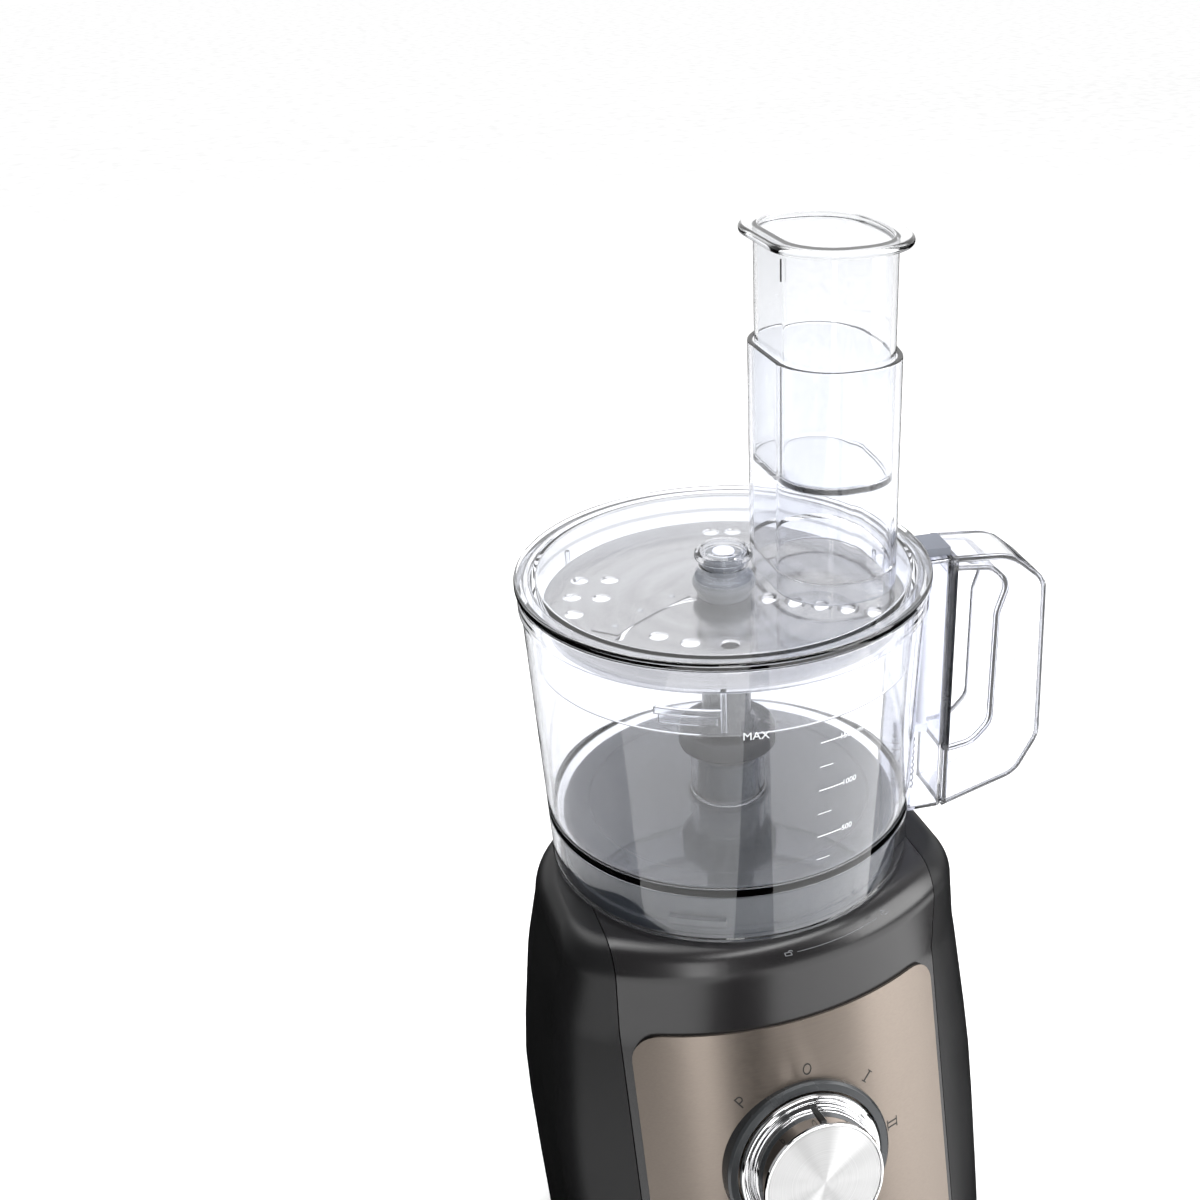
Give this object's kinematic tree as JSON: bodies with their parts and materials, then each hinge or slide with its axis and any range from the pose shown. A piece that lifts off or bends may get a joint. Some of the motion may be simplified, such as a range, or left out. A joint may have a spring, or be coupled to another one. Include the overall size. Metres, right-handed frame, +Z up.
{
  "type": "food processor",
  "caption": "Food processor with a clear lidded bowl, raised pusher in a wide feed tube, slicing and grating disc, steel front panel and rotary control knob.",
  "frame": {"origin": "on the drive axis, at the level of the surface that the rubber feet stand on", "axes": "+Z up along the drive axis, +X towards the bowl handle, -Y towards the control knob"},
  "size_m": [0.2837, 0.2457, 0.5605],
  "materials": {
    "graphite": "satin graphite moulding",
    "graphite_satin": "satin dark grey moulding",
    "black_side": "fine satin black",
    "brushed_steel": "horizontal brush",
    "black_under": "moulded black",
    "foot_rubber": "soft matte",
    "zinc_steel": "zinc plated",
    "bezel_grey": "satin dark grey",
    "brass_bush": "turned",
    "switch_black": "moulded",
    "lamination_steel": "stacked laminations",
    "copper_winding": "enamelled wire",
    "cast_alloy": "die cast",
    "bearing_steel": "ground",
    "capacitor_shell": "drawn can",
    "board_green": "laminate",
    "shaft_steel": "ground",
    "fan_white": "moulded",
    "stem_black": "satin black",
    "disc_steel": "fine satin",
    "blade_steel": "ground edge",
    "hub_grey": "satin grey",
    "button_white": "smooth",
    "knob_chrome": "mirror",
    "knob_brushed": "turned rings",
    "pointer_black": "printed",
    "clear_bowl": "clear, polished",
    "clear_handle": "clear, polished",
    "spring_wire": "drawn wire",
    "clear_lid": "clear, polished",
    "tab_grey": "smoke grey",
    "clear_pusher": "clear, polished",
    "rod_white": "moulded"
  },
  "bodies": {
    "base": {"housing_core": "graphite", "cord_plate": "graphite", "side_panel_left": "black_side", "side_panel_right": "black_side", "front_panel": "brushed_steel", "base_plate": "black_under", "rubber_feet": "foot_rubber", "foot_screws": "zinc_steel", "bowl_turret": "graphite_satin", "turret_nose": "graphite_satin", "knob_bezel": "bezel_grey", "knob_bush": "brass_bush", "rotary_switch": "switch_black", "stator_core": "lamination_steel", "stator_windings": "copper_winding", "motor_cap_lower": "cast_alloy", "motor_cap_upper": "cast_alloy", "motor_bolts": "zinc_steel", "motor_mounts": "foot_rubber", "bearing_lower": "bearing_steel", "bearing_upper": "bearing_steel", "shaft_bush": "brass_bush", "shaft_seal": "foot_rubber", "run_capacitor": "capacitor_shell", "control_board": "board_green", "cord_gland": "black_under", "interlock_switch": "switch_black"},
    "spindle": {"motor_shaft": "shaft_steel", "rotor_core": "lamination_steel", "cooling_fan": "fan_white", "drive_coupling": "shaft_steel", "disc_stem": "stem_black", "slicing_disc": "disc_steel", "slicing_blade": "blade_steel", "blade_rivets": "blade_steel", "grating_teeth": "blade_steel", "disc_hub": "hub_grey", "hub_button": "button_white"},
    "knob": {"knob_skirt": "knob_chrome", "knob_face": "knob_brushed", "knob_pointer": "pointer_black", "knob_shaft": "shaft_steel"},
    "bowl": {"bowl": "clear_bowl", "bowl_floor": "clear_bowl", "bowl_chimney": "clear_bowl", "bowl_handle": "clear_handle", "handle_pillar": "clear_handle", "rod_spring": "spring_wire"},
    "lid": {"lid": "clear_lid", "lid_boss": "clear_lid", "feed_tube": "clear_lid", "lid_tab": "tab_grey"},
    "pusher": {"pusher": "clear_pusher"},
    "interlock": {"interlock_rod": "rod_white"},
    "plunger": {"switch_plunger": "rod_white"}
  },
  "joints": [
    {"name": "spindle_spin", "type": "hinge", "parent": "base", "child": "spindle", "pos_m": [0, 0, 0.2], "axis": [0, 0, 1], "continuous": true},
    {"name": "knob_turn", "type": "hinge", "parent": "base", "child": "knob", "pos_m": [-0.0035, -0.115, 0.129], "axis": [0, -0.9681, 0.2504], "range_deg": [-90, 38]},
    {"name": "bowl_twist", "type": "hinge", "parent": "base", "child": "bowl", "pos_m": [0, 0, 0.249], "axis": [0, 0, 1], "range_deg": [-25, 0]},
    {"name": "lid_twist", "type": "hinge", "parent": "bowl", "child": "lid", "pos_m": [0, 0, 0.401], "axis": [0, 0, 1], "range_deg": [-25, 0]},
    {"name": "pusher_slide", "type": "slide", "parent": "lid", "child": "pusher", "axis": [0, 0, 1], "range_m": [-0.0496, 0.064]},
    {"name": "rod_slide", "type": "slide", "parent": "bowl", "child": "interlock", "axis": [0, 0, 1], "range_m": [0, 0.004], "deforming": ["rod_spring"]},
    {"name": "plunger_slide", "type": "slide", "parent": "base", "child": "plunger", "axis": [0, 0, 1], "range_m": [0, 0.004]}
  ],
  "couplings": [
    {"joint": "rod_slide", "follows": "lid_twist", "m_per_rad": -0.00915},
    {"joint": "plunger_slide", "follows": "lid_twist", "m_per_rad": -0.00915}
  ]
}
